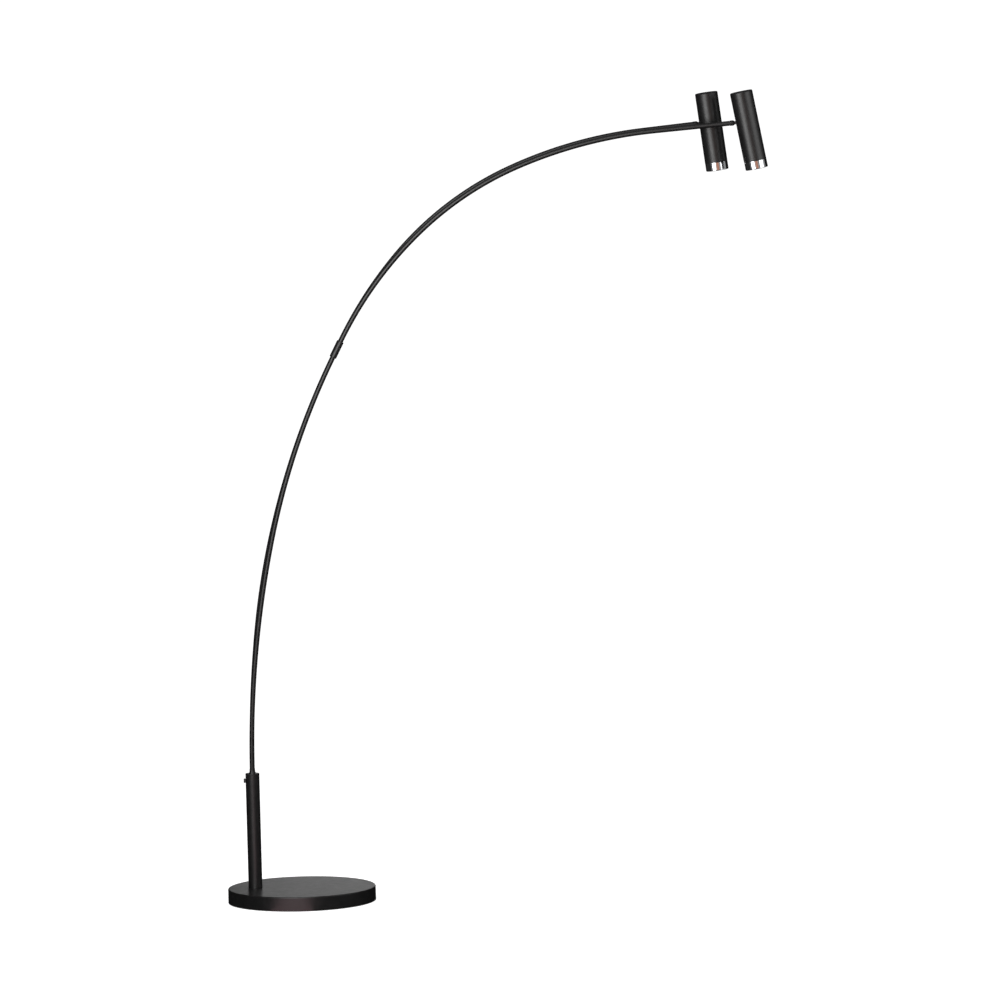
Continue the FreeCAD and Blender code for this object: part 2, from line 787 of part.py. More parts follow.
head_radius = lamp.head_diameter / 2
head_inside = head_radius - lamp.head_wall
pivot_across = -head_radius + lamp.pivot_inset
pivot_height = lamp.head_length - lamp.pivot_below_top


def make_shell(name, place):
    ceiling = lamp.head_length - lamp.head_wall
    outline = [
        (head_inside, lamp.ring_height),
        (head_radius, lamp.ring_height),
        (head_radius, lamp.head_length),
        (ZERO, lamp.head_length),
        (ZERO, ceiling),
        (head_inside, ceiling),
    ]
    shell = turned(name + "_head_shell", outline, place)
    round_edge(shell, name + "_shell_outer_edge", head_radius, lamp.head_length, lamp.head_edge_radius)
    inner_edge_radius = lamp.head_edge_radius - lamp.head_wall
    round_edge(shell, name + "_shell_inner_edge", head_inside, ceiling, inner_edge_radius)
    corner = at(-head_radius - lamp.head_wall, -lamp.slot_width / 2, pivot_height - lamp.slot_height / 2)
    mill(shell, name + "_shell_slot", corner, lamp.head_wall * 4, lamp.slot_width, lamp.slot_height)


def make_trim_ring(name, place):
    inside = lamp.ring_bore / 2
    spigot = head_inside - lamp.press_clearance
    spigot_top = lamp.ring_height + lamp.ring_spigot_height
    outline = [
        (inside, ZERO),
        (head_radius, ZERO),
        (head_radius, lamp.ring_height),
        (spigot, lamp.ring_height),
        (spigot, spigot_top),
        (inside, spigot_top),
    ]
    trim = turned(name + "_trim_ring", outline, place)
    round_edge(trim, name + "_ring_outer_edge", head_radius, ZERO, lamp.ring_edge)
    round_edge(trim, name + "_ring_inner_edge", inside, ZERO, lamp.ring_edge)


bulb_rim_top = lamp.bulb_recess + lamp.bulb_rim_height
bulb_taper_top = bulb_rim_top + lamp.bulb_taper_height
bulb_top = bulb_taper_top + lamp.bulb_neck_height
lens_seat = lamp.bulb_recess + lamp.lens_thickness + lamp.face_gap
lens_radius = lamp.bulb_diameter / 2 - lamp.bulb_rim_width
holder_bottom = bulb_top + lamp.face_gap
holder_top = holder_bottom + lamp.holder_height
plate_top = holder_top + lamp.holder_plate_thickness


def make_bulb(name, place):
    rim, neck = lamp.bulb_diameter / 2, lamp.bulb_neck_diameter / 2
    outline = [
        (lens_radius, lamp.bulb_recess),
        (rim, lamp.bulb_recess),
        (rim, bulb_rim_top),
        (neck, bulb_taper_top),
        (neck, bulb_top),
        (ZERO, bulb_top),
        (ZERO, lens_seat),
        (lens_radius, lens_seat),
    ]
    bulb = turned(name + "_bulb_body", outline, place)
    for number, side in enumerate((-1, 1)):
        foot = at(0, lamp.bulb_pin_spacing * side / 2, bulb_top)
        pin = "%s_bulb_pin_%d" % (name, number)
        add_cylinder(bulb, pin, foot, lamp.bulb_pin_diameter, lamp.bulb_pin_length)
    lens = [
        (ZERO, lamp.bulb_recess),
        (lens_radius - lamp.press_clearance, lamp.bulb_recess),
        (lens_radius - lamp.press_clearance, lens_seat),
        (ZERO, lens_seat),
    ]
    turned(name + "_bulb_lens", lens, place)


def make_holder(name, place):
    half = lamp.holder_diameter / 2
    outline = [(ZERO, holder_bottom), (half, holder_bottom), (half, holder_top), (ZERO, holder_top)]
    holder = turned(name + "_lamp_holder", outline, place)
    pin_hole = lamp.bulb_pin_diameter + lamp.face_gap * 2
    pin_hole_depth = lamp.bulb_pin_length + lamp.face_gap
    thread_hole = lamp.holder_screw_diameter + lamp.press_clearance * 2
    tip = plate_top - lamp.holder_screw_length
    for number, side in enumerate((-1, 1)):
        foot = at(0, lamp.bulb_pin_spacing * side / 2, holder_bottom)
        drill(holder, "%s_pin_hole_%d" % (name, number), foot, pin_hole, pin_hole_depth)
        thread = at(lamp.holder_screw_spacing * side / 2, 0, tip)
        drill(holder, "%s_thread_%d" % (name, number), thread, thread_hole, lamp.holder_screw_length)

    plate_edge = head_inside * 2 - lamp.face_gap
    plate_outline = ring(lamp.holder_plate_hole, plate_edge, holder_top, plate_top)
    plate = turned(name + "_holder_plate", plate_outline, place)
    for number, side in enumerate((-1, 1)):
        hole = at(lamp.holder_screw_spacing * side / 2, 0, holder_top)
        drill(plate, "%s_plate_hole_%d" % (name, number), hole, thread_hole, lamp.holder_plate_thickness)
    make_holder_screws(name, place, tip)


def make_holder_screws(name, place, tip):
    """Two alike screws, one solid each, under one label."""
    screws = []
    for number, side in enumerate((-1, 1)):
        axis = at(lamp.holder_screw_spacing * side / 2, 0, tip)
        shank = doc.addObject("Part::Cylinder", "%s_screw_shank_%d" % (name, number))
        shank.setExpression("Radius", (lamp.holder_screw_diameter / 2).formula)
        shank.setExpression("Height", lamp.holder_screw_length.formula)
        shank.Placement = axis
        head = doc.addObject("Part::Cylinder", "%s_screw_head_%d" % (name, number))
        head.setExpression("Radius", (lamp.holder_screw_head_diameter / 2).formula)
        head.setExpression("Height", lamp.holder_screw_head_thickness.formula)
        head.Placement = axis.multiply(at(0, 0, lamp.holder_screw_length))
        screw = doc.addObject("Part::Fuse", "%s_screw_%d" % (name, number))
        screw.Base = shank
        screw.Tool = head
        screws.append(screw)
    pair = doc.addObject("Part::Compound", name + "_holder_screws")
    pair.Label = name + "_holder_screws"
    pair.Links = screws
    pair.Placement = place
    doc.recompute()


def make_hinge(name, place):
    """Yoke, pivot screw, nut and friction washers of the tilt hinge inside the head."""
    gap = lamp.tongue_thickness + (lamp.friction_washer_thickness + lamp.running_clearance) * 2
    width = gap + lamp.yoke_sheet * 2
    # the yoke's cheeks reach the shell's round wall beside the slot
    wall_reach = math.sqrt(head_inside.number ** 2 - (width.number / 2) ** 2) - lamp.yoke_wall_gap.number
    low = pivot_height - lamp.yoke_height / 2
    yoke = new_body(name + "_hinge_yoke", place)
    block_corner = at(-wall_reach, -width / 2, low)
    channel_corner = at(-wall_reach - lamp.yoke_sheet.number, -gap / 2, low)
    add_box(yoke, name + "_yoke_block", block_corner, lamp.yoke_depth, width, lamp.yoke_height)
    mill(yoke, name + "_yoke_channel", channel_corner, lamp.yoke_depth, gap, lamp.yoke_height)
    screw_start = at(pivot_across, -width / 2 - lamp.pivot_head_thickness, pivot_height, ALONG_Y)
    hole = lamp.pivot_diameter + lamp.press_clearance * 2
    drill(yoke, name + "_yoke_hole", screw_start, hole, width * 2)

    shank_end = lamp.pivot_head_thickness + width + lamp.pivot_nut_height
    head, shank = lamp.pivot_head_diameter / 2, lamp.pivot_diameter / 2
    outline = [
        (ZERO, ZERO),
        (head, ZERO),
        (head, lamp.pivot_head_thickness),
        (shank, lamp.pivot_head_thickness),
        (shank, shank_end),
        (ZERO, shank_end),
    ]
    turned(name + "_pivot_screw", outline, place.multiply(screw_start))
    nut_seat = place.multiply(at(pivot_across, width / 2, pivot_height, ALONG_Y))
    make_nut(name + "_pivot_nut", nut_seat, lamp.pivot_nut_across_flats, lamp.pivot_nut_height, hole)

    washers = []
    for number, side in enumerate((-1, 1)):
        inner_face = lamp.tongue_thickness / 2 + lamp.running_clearance
        near = inner_face if side > 0 else -inner_face - lamp.friction_washer_thickness
        seat = at(pivot_across, near, pivot_height, ALONG_Y)
        disc = doc.addObject("Part::Cylinder", "%s_washer_disc_%d" % (name, number))
        disc.setExpression("Radius", (lamp.friction_washer_diameter / 2).formula)
        eye = doc.addObject("Part::Cylinder", "%s_washer_eye_%d" % (name, number))
        eye.setExpression("Radius", (hole / 2).formula)
        for blank in (disc, eye):
            blank.setExpression("Height", lamp.friction_washer_thickness.formula)
            blank.Placement = seat
        washer = doc.addObject("Part::Cut", "%s_washer_%d" % (name, number))
        washer.Base = disc
        washer.Tool = eye
        washers.append(washer)
    pair = doc.addObject("Part::Compound", name + "_friction_washers")
    pair.Label = name + "_friction_washers"
    pair.Links = washers
    pair.Placement = place
    doc.recompute()


def make_head(name, pivot, side, lean):
    """One spot head; its top leans back over the arm by the given angle."""
    upright = Placement(pivot.Base, Rotation(Vector(0, 0, 1), lamp.fan_angle.number * side))
    leaning = upright.multiply(at(turn=Rotation(Vector(0, 1, 0), -lean.number)))
    place = leaning.multiply(at(-pivot_across, 0, -pivot_height))
    make_knuckle(name, pivot)
    make_shell(name, place)
    make_trim_ring(name, place)
    make_bulb(name, place)
    make_holder(name, place)
    make_hinge(name, place)


make_head("front", front_pivot, -1, lamp.front_lean_angle)
make_head("back", back_pivot, 1, lamp.back_lean_angle)


# ---------------------------------------------------------------------------------------------
# Check and write
# ---------------------------------------------------------------------------------------------

doc.recompute()
broken = [item.Label for item in doc.Objects if {"Invalid", "Error"} & set(item.State)]
assert not broken, "failed objects: %s" % broken

pairs = [item for item in doc.Objects if item.TypeId == "Part::Compound"]
inner_pieces = {child.Name for pair in pairs for child in pair.OutListRecursive}
pieces = [item for item in doc.Objects if item.TypeId in ("PartDesign::Body", "Part::Compound")]
pieces = [item for item in pieces if item.Name not in inner_pieces]
for piece in pieces:
    shape = piece.Shape
    assert not shape.isNull() and shape.isValid() and shape.Volume > 0, "bad shape: " + piece.Label
    shape.exportStep(os.path.join("parts", piece.Label + ".step"))
    print("%-24s %2d solid(s) %12.1f mm3" % (piece.Label, len(shape.Solids), shape.Volume))
print(len(pieces), "pieces")
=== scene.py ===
import json
import math

import bmesh
import bpy
from mathutils import Matrix, Vector


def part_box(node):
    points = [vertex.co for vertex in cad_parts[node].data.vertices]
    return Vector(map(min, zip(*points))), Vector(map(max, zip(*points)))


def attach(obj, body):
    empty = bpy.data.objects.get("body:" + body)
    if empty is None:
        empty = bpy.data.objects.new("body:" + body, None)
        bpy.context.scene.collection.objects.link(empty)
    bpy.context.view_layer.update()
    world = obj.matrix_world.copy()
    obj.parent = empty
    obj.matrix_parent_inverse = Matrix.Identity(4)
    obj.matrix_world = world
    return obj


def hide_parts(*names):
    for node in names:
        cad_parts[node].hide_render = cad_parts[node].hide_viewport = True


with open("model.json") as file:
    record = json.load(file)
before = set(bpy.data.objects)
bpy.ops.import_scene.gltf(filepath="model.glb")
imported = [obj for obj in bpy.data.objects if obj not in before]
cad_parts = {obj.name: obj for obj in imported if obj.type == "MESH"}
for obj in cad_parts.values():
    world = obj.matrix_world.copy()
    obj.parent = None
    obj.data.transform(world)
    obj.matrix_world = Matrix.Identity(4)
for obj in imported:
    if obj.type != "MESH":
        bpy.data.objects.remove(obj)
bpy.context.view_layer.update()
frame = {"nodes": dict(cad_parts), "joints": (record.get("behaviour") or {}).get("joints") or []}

# Bow-arm floor lamp: a coated steel disc and pole carry two long bent tubes, each with a
# cylinder spot head that has a chromed ring round its mouth. Lengths are in metres.

VERT, EDGE, FACE = bmesh.types.BMVert, bmesh.types.BMEdge, bmesh.types.BMFace


# ---------------------------------------------------------------------------------------------
# Camera: far away and almost level, rolled a little as the photograph is
# ---------------------------------------------------------------------------------------------

EYE = Vector((0.5058, -20.0, 2.9215))
PITCH_DOWN = math.radians(5.573)
ROLL = math.radians(1.42)
LENS_MM = 298.27
SENSOR_MM = 36.0
NEAREST_SEEN = 1.0
FARTHEST_SEEN = 200.0


def make_camera():
    right = Vector((1, 0, 0))
    ahead = Vector((0, math.cos(PITCH_DOWN), -math.sin(PITCH_DOWN)))
    up = right.cross(ahead)
    across = right * math.cos(ROLL) - up * math.sin(ROLL)
    along = right * math.sin(ROLL) + up * math.cos(ROLL)
    data = bpy.data.cameras.new("camera")
    data.lens, data.sensor_width = LENS_MM, SENSOR_MM
    data.clip_start, data.clip_end = NEAREST_SEEN, FARTHEST_SEEN
    camera = bpy.data.objects.new("camera", data)
    turn = Matrix((across, along, -ahead)).transposed()
    camera.matrix_world = Matrix.Translation(EYE) @ turn.to_4x4()
    bpy.context.scene.collection.objects.link(camera)
    bpy.context.scene.camera = camera


# ---------------------------------------------------------------------------------------------
# Sizes of the lamp, as it is built
# ---------------------------------------------------------------------------------------------

# how far an edge is rounded when it is as cut, broken or eased
CRISP = 0.0002
BROKEN = 0.0003
EASED = 0.0004

# play of a close fit, on the radius
FIT_GAP = 0.00005

base_floor, base_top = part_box("base_cover")
BASE_RADIUS = base_top.x
BASE_HEIGHT = base_top.z
COVER_FOOT = base_floor.z
COVER_SHEET = 0.0015
BASE_EDGE = 0.0025
pad_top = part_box("foot_pad")[1]
PAD_RADIUS = pad_top.x
PAD_THICKNESS = pad_top.z

POLE_X = next(joint["pos_m"][0] for joint in frame["joints"] if joint["name"] == "arm_swivel")
POLE_RADIUS = 0.017
POLE_BORE = 0.0155
POLE_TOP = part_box("pole_tube")[1].z
plug_floor, plug_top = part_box("swivel_plug")
PLUG_FOOT = plug_floor.z
PLUG_TOP = plug_top.z
PLUG_FLANGE = 0.003
PLUG_SHAFT = 0.01542
PLUG_GROOVE_RADIUS = 0.0141
PLUG_GROOVE_HEIGHT = 0.012
CLAMP_DROP = 0.0177
CLAMP_HEIGHT = PLUG_TOP - CLAMP_DROP

ROD_RADIUS = 0.006
ROD_BORE = 0.005
ROD_SPACING = 0.017
ROD_END_SETBACK = 0.0229
FAN_ANGLE = math.radians(1.2)
FIT_RADIUS = ROD_RADIUS + FIT_GAP
SOCKET_DEPTH = 0.0105
COUPLER_STRAIGHT = 0.022
COUPLER_RADIUS = 0.00825
COUPLER_HALF_LENGTH = 0.0215
COUPLER_EDGE = 0.0012

# a knuckle's heights are measured back from its pivot
COLLAR_RADIUS = 0.0065
COLLAR_NOSE = 0.010
COLLAR_NOSE_ROUNDING = 0.0048
COLLAR_BACK = 0.0217
STUD_BORE = 0.00333
STUD_BORE_END = 0.0127
TONGUE_HALF_HEIGHT = 0.004
TONGUE_THICKNESS = 0.005
TONGUE_ROOT = 0.0012
TONGUE_EYE_RADIUS = 0.00208

# a head's heights are measured up from its mouth
HEAD_RADIUS = 0.0275
HEAD_WALL = 0.0015
HEAD_LENGTH = 0.190
HEAD_EDGE = 0.003
PIVOT_INSET = 0.0075
PIVOT_HEIGHT = 0.118
SLOT_HALF_HEIGHT = 0.011
RING_HEIGHT = 0.020
RING_BORE = 0.0254
RING_EDGE = 0.0018
SPIGOT_TOP = 0.026
BULB_RECESS = 0.015
BULB_RADIUS = 0.025
LENS_RADIUS = 0.0234
LENS_THICKNESS = 0.0022

# each bend is the radius of its centre line and how far it turns, in degrees
ARMS = {
    "front": {
        "side": -1,
        "lower": [(2.600, 12.75), (1.840, 14.5)],
        "upper": [(0.938, 20.3), (0.796, 20.3), (1.108, 17.7)],
        "end": 0.205,
        "lean": math.radians(10.4),
    },
    "back": {
        "side": 1,
        "lower": [(3.010, 6.35), (1.953, 20.8)],
        "upper": [(1.015, 14.3), (0.781, 24.95), (1.069, 18.2)],
        "end": 0.147,
        "lean": math.radians(7.0),
    },
}


# ---------------------------------------------------------------------------------------------
# Materials
# ---------------------------------------------------------------------------------------------

MILLIMETRE = 0.001
CLOUD_SIZE = 22
CLOUD_DETAIL = 2.0
GRAIN_DETAIL = 3.0
GRAIN_ROUGHNESS = 0.55

# noise stays between these, so colour and roughness run from one to the other
NOISE_LOW = 0.35
NOISE_HIGH = 0.65


def paint(code):
    """Linear colour of an sRGB hex value."""
    channels = [int(code[i:i + 2], 16) / 255 for i in (1, 3, 5)]
    return [c / 12.92 if c <= 0.04045 else ((c + 0.055) / 1.055) ** 2.4 for c in channels] + [1.0]


def add(tree, kind, links=None, **settings):
    """Add a node with its settings; links maps a socket to a value or to another node's output."""
    node = tree.nodes.new("ShaderNode" + kind)
    for name, value in settings.items():
        setattr(node, name, value)
    for socket, value in (links or {}).items():
        if isinstance(value, bpy.types.NodeSocket):
            tree.links.new(value, node.inputs[socket])
        else:
            node.inputs[socket].default_value = value
    return node


def blank_material(name):
    """A material without nodes, and its tree."""
    material = bpy.data.materials.new(name)
    material.use_nodes = True
    material.node_tree.nodes.clear()
    return material, material.node_tree


def finish_of(name, grain_mm, dark, pale, rough, relief_mm, **uniform):
    """A material whose colour, roughness and relief follow one grain of a real size."""
    material, tree = blank_material(name)
    place = add(tree, "TexCoord").outputs["Object"]
    scale = 1 / (grain_mm * MILLIMETRE)
    grain = add(tree, "TexNoise", {"Vector": place, "Scale": scale,
                                   "Detail": GRAIN_DETAIL, "Roughness": GRAIN_ROUGHNESS})
    cloud = add(tree, "TexNoise", {"Vector": place, "Scale": scale / CLOUD_SIZE,
                                   "Detail": CLOUD_DETAIL})
    both = add(tree, "Mix", {0: 0.5, 2: grain.outputs["Fac"], 3: cloud.outputs["Fac"]})
    colour = add(tree, "ValToRGB", {"Fac": both.outputs[0]})
    first, last = colour.color_ramp.elements
    first.color, first.position = paint(dark), NOISE_LOW
    last.color, last.position = paint(pale), NOISE_HIGH
    roughness = add(tree, "MapRange", {"Value": both.outputs[0],
                                       "From Min": NOISE_LOW, "From Max": NOISE_HIGH,
                                       "To Min": rough[0], "To Max": rough[1]})
    bump = add(tree, "Bump", {"Height": grain.outputs["Fac"], "Strength": 1.0,
                              "Distance": relief_mm * MILLIMETRE})
    shader = add(tree, "BsdfPrincipled", {
        "Base Color": colour.outputs["Color"],
        "Roughness": roughness.outputs["Result"],
        "Normal": bump.outputs["Normal"],
        **uniform,
    })
    add(tree, "OutputMaterial", {"Surface": shader.outputs["BSDF"]})
    return material


# baked polyester powder on steel: a deep soft black with an even pebble too fine to see from
# afar, drawn at 0.7 mm instead of 0.2 mm so that it shows close to
powder_coat = finish_of("powder_coat_baked_polyester", 0.7, "#0d0d0d", "#131213",
                        (0.37, 0.43), 0.006)

# bright chromium over polished nickel: a clear mirror with a breath of haze
chrome = finish_of("chromium_plate_polished", 9.0, "#bcbdbf", "#c6c7c9",
                   (0.045, 0.075), 0.0004, Metallic=1.0)

# moulded black rubber: dull, with a fine mould grain
rubber = finish_of("rubber_moulded_black", 1.2, "#141414", "#1d1d1c", (0.72, 0.86), 0.03)

# grey iron as cast and dipped in black paint: lumpy, half matt
cast_iron = finish_of("grey_iron_as_cast", 3.0, "#232325", "#3a3a3c", (0.55, 0.75), 0.18)

# brass turned from bar and stained black: dark, with the turning still shining through
black_brass = finish_of("brass_chemically_blackened", 1.5, "#17150f", "#242016",
                        (0.34, 0.46), 0.004, Metallic=0.6)

# mild steel with bright zinc: pale blue-grey, faintly cloudy
zinc = finish_of("steel_bright_zinc_plated", 2.5, "#9da2a8", "#b9bcc0",
                 (0.26, 0.40), 0.006, Metallic=1.0)

# the same plating under black chromate, for the screws and studs that show at the knuckles
black_zinc = finish_of("steel_zinc_black_chromated", 2.5, "#141416", "#1e1e21",
                       (0.34, 0.46), 0.006, Metallic=0.5)

# soft PVC sheath, extruded: smooth with long slow waves in its gloss
sheath = finish_of("pvc_sheath_extruded", 4.0, "#161616", "#202020", (0.42, 0.55), 0.01)

# moulded nylon, natural and black: waxy with a fine spark-eroded grain
white_nylon = finish_of("nylon_moulded_natural", 0.8, "#d8d5c9", "#e3e0d5", (0.45, 0.58), 0.01)
black_nylon = finish_of("nylon_moulded_black", 0.8, "#1b1b1b", "#262626", (0.45, 0.58), 0.01)

# pressed and fired steatite: dry, chalky cream
steatite = finish_of("steatite_fired_unglazed", 1.0, "#d5cfbd", "#e6e1d2", (0.62, 0.80), 0.03)

# thermoplastic lamp housing, moulded in white: satin
housing = finish_of("polybutylene_moulded_white", 0.9, "#d2d3d3", "#dedfde",
                    (0.30, 0.40), 0.008)

# polycarbonate lens, moulded with small pillows: milky and glossy
lens = finish_of("polycarbonate_lens_frosted", 0.8, "#d9dcda", "#e8eae7", (0.16, 0.26), 0.01)

# what a new piece is finished in: its slot and the material in it
COATED = "black_powder_coat", powder_coat
MOULDED = "black_rubber", rubber
PLATED = "zinc_plated_steel", zinc
BLACKENED = "zinc_plated_steel", black_zinc
CHROMED = "chrome_plate", chrome
BULB_WHITE = "bulb_housing", housing
FROSTED = "bulb_lens", lens

# what the pieces that are carried over are made of, by the name they share in both heads or arms
CARRIED_OVER = {
    "base_weight": cast_iron,
    "pole_foot_plug": zinc,
    "base_washer": zinc,
    "pole_nipple": zinc,
    "base_nut": zinc,
    "clamp_insert": black_brass,
    "terminal_block": white_nylon,
    "spigot": zinc,
    "swivel_stud": black_zinc,
    "lead": sheath,
    "lamp_holder": steatite,
    "holder_plate": zinc,
    "holder_screws": zinc,
    "hinge_yoke": zinc,
    "pivot_screw": zinc,
    "pivot_nut": zinc,
    "friction_washers": black_nylon,
}


# ---------------------------------------------------------------------------------------------
# Ways of making a piece
# ---------------------------------------------------------------------------------------------

AT_ORIGIN = Matrix.Identity(4)
QUARTER_TURN = math.pi / 2

# how many steps a turned piece or a circle has round its axis
SMALL_STEPS = 24
STUD_STEPS = 32
TUBE_SIDES = 32
TONGUE_SIDES = 48
KNUCKLE_STEPS = 64
FINE_STEPS = 96
SHELL_STEPS = 144
BROAD_STEPS = 192

ROUND_SEGMENTS = 5
CHORD_ERROR = 2e-5
CREASE = math.radians(32)
WELD = 1e-6
LEVEL = 5e-6

# a guard point stands this far past a rounding, if the flat is long enough for two of them
SUPPORT = 0.0004
SUPPORT_ROOM = 3


def only(kind, items):
    """Those of the items that are vertices, edges or faces."""
    return [item for item in items if isinstance(item, kind)]


def edges_at(verts):
    """The edges that meet any of the vertices, each once and always in the same order."""
    return list(dict.fromkeys(edge for vert in verts for edge in vert.link_edges))


def supported(corners):
    """The outline with a point just past each rounding, so that the flat beside it shades flat."""
    outline = []
    for number, corner in enumerate(corners):
        if len(corner) == 2:
            outline.append(corner)
            continue
        here, reach = Vector(corner[:2]), corner[2] + SUPPORT
        guards = []
        for neighbour in (corners[number - 1], corners[(number + 1) % len(corners)]):
            way = Vector(neighbour[:2]) - here
            has_room = way.length > SUPPORT_ROOM * reach
            guards.append([tuple(here + way.normalized() * reach)] if has_room else [])
        outline += guards[0] + [corner] + guards[1]
    return outline


def turned(corners, steps=FINE_STEPS, start=0.0):
    """A solid turned about Z. Each corner is (radius, height) or (radius, height, rounding)."""
    corners = supported(corners)
    shape = bmesh.new()
    points = [shape.verts.new((corner[0], 0, corner[1])) for corner in corners]
    shape.faces.new(points)
    for point, corner in zip(points, corners):
        if len(corner) == 3:
            bmesh.ops.bevel(shape, geom=[point], offset=corner[2], offset_type="OFFSET",
                            segments=ROUND_SEGMENTS, profile=0.5, affect="VERTICES", material=-1)
    bmesh.ops.delete(shape, geom=list(shape.faces), context="FACES_ONLY")
    on_axis = [edge for edge in shape.edges if all(abs(vert.co.x) < WELD for vert in edge.verts)]
    bmesh.ops.delete(shape, geom=on_axis, context="EDGES")
    bmesh.ops.rotate(shape, verts=shape.verts, cent=(0, 0, 0),
                     matrix=Matrix.Rotation(start, 3, "Z"))
    bmesh.ops.spin(shape, geom=list(shape.verts) + list(shape.edges), cent=(0, 0, 0),
                   axis=(0, 0, 1), angle=math.tau, steps=steps, use_merge=True)
    return shape


def thicken(shape, faces, height):
    """Draw flat faces up into a solid; gives the vertices and faces of its far side."""
    drawn = bmesh.ops.extrude_face_region(shape, geom=faces, use_keep_orig=True)["geom"]
    far = only(VERT, drawn)
    bmesh.ops.translate(shape, verts=far, vec=(0, 0, height))
    return far, only(FACE, drawn)


def sink(shape, faces, depth):
    """Push faces down into the shape and wall the pocket that they leave."""
    drawn = bmesh.ops.extrude_face_region(shape, geom=faces)["geom"]
    bmesh.ops.delete(shape, geom=faces, context="FACES_ONLY")
    bmesh.ops.translate(shape, verts=only(VERT, drawn), vec=(0, 0, -depth))


def linked_object(name, shape, material):
    """Make a finished shape an object of the scene."""
    mesh = bpy.data.meshes.new(name)
    shape.to_mesh(mesh)
    shape.free()
    mesh.materials.append(material)
    made = bpy.data.objects.new(name, mesh)
    bpy.context.scene.collection.objects.link(made)
    return made


def piece(name, shape, place, body, node, finish):
    """Close a shape, put it in its place and let it ride on a body in place of a CAD node."""
    slot, material = finish
    bmesh.ops.remove_doubles(shape, verts=shape.verts, dist=WELD)
    bmesh.ops.recalc_face_normals(shape, faces=shape.faces)
    bmesh.ops.transform(shape, matrix=place, verts=shape.verts)
    for face in shape.faces:
        face.smooth = True
    for edge in shape.edges:
        edge.smooth = edge.calc_face_angle(math.pi) < CREASE
    made = linked_object(name, shape, material)
    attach(made, body)
    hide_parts(node)


def walk(path):
    """Placement of a path's end: it starts at the origin along +Z and bends towards +X.

    A step of the path is a straight length, or a bend as (radius, degrees).
    """
    place = Matrix.Identity(4)
    for step in path:
        if isinstance(step, tuple):
            radius, turn = step[0], math.radians(step[1])
            pivot = Matrix.Translation((radius, 0, 0))
            place = place @ pivot @ Matrix.Rotation(turn, 4, "Y") @ pivot.inverted()
        else:
            place = place @ Matrix.Translation((0, 0, step))
    return place


def swept_tube(path, outside, inside):
    """A tube along a path: both skins are drawn out and spun, then joined at the ends."""
    shape = bmesh.new()
    first, last = [], []
    for radius in (outside, inside):
        circle = bmesh.ops.create_circle(shape, cap_ends=False, segments=TUBE_SIDES,
                                         radius=radius)
        rim = edges_at(circle["verts"])
        first += rim
        done = []
        for step in path:
            here = walk(done)
            if isinstance(step, tuple):
                bend, turn = step[0], math.radians(step[1])
                verts = list(dict.fromkeys(vert for edge in rim for vert in edge.verts))
                count = math.ceil(turn / (2 * math.sqrt(2 * CHORD_ERROR / bend)))
                spun = bmesh.ops.spin(shape, geom=verts + rim, cent=here @ Vector((bend, 0, 0)),
                                      axis=(0, 1, 0), angle=turn, steps=count, use_merge=False)
                rim = only(EDGE, spun["geom_last"])
            else:
                drawn = bmesh.ops.extrude_edge_only(shape, edges=rim)["geom"]
                rim = only(EDGE, drawn)
                bmesh.ops.translate(shape, verts=only(VERT, drawn),
                                    vec=here.to_3x3() @ Vector((0, 0, step)))
            done.append(step)
        last += rim
    for rims in (first, last):
        bmesh.ops.bridge_loops(shape, edges=rims)
    return shape


# ---------------------------------------------------------------------------------------------
# Base and pole
# ---------------------------------------------------------------------------------------------

def make_base_cover():
    inside = BASE_RADIUS - COVER_SHEET
    under = BASE_HEIGHT - COVER_SHEET
    cover = turned([
        (0, BASE_HEIGHT),
        (BASE_RADIUS, BASE_HEIGHT, BASE_EDGE),
        (BASE_RADIUS, COVER_FOOT, BROKEN),
        (inside, COVER_FOOT, BROKEN),
        (inside, under, BASE_EDGE - COVER_SHEET),
        (0, under),
    ], BROAD_STEPS)
    piece("base_cover_spun", cover, AT_ORIGIN, "base", "base_cover", COATED)


def make_foot_pad():
    """The pad's underside has ring grooves that keep it from creeping."""
    groove_width, groove_depth, groove_pitch, groove_count = 0.0025, 0.0008, 0.012, 13
    outer_edge = 0.0008
    corners = [(0, 0)]
    for number in range(1, groove_count + 1):
        near = number * groove_pitch
        far = near + groove_width
        corners += [
            (near, 0, BROKEN),
            (near, groove_depth),
            (far, groove_depth),
            (far, 0, BROKEN),
        ]
    corners += [
        (PAD_RADIUS, 0, outer_edge),
        (PAD_RADIUS, PAD_THICKNESS, BROKEN),
        (0, PAD_THICKNESS),
    ]
    pad = turned(corners, BROAD_STEPS)
    piece("foot_pad_moulded", pad, AT_ORIGIN, "base", "foot_pad", MOULDED)


def make_grommet():
    """Two flanges on a shank that passes through the cover's side at the rear left."""
    bearing, height = math.radians(135), 0.012
    bore, shank, flange, flange_thickness = 0.0035, 0.00595, 0.008, 0.0012
    outer_face, inner_face, inner_end = 0.0002, -0.0019, -0.0029
    flange_edge, mouth_edge = 0.0007, 0.0005
    grommet = turned([
        (bore, inner_end, BROKEN),
        (flange, inner_end, EASED),
        (flange, inner_face, CRISP),
        (shank, inner_face),
        (shank, outer_face),
        (flange, outer_face, CRISP),
        (flange, outer_face + flange_thickness, flange_edge),
        (bore, outer_face + flange_thickness, mouth_edge),
    ])
    place = (Matrix.Rotation(bearing, 4, "Z") @ Matrix.Translation((BASE_RADIUS, 0, height))
             @ Matrix.Rotation(QUARTER_TURN, 4, "Y"))
    piece("cord_grommet_moulded", grommet, place, "base", "cord_grommet", MOULDED)


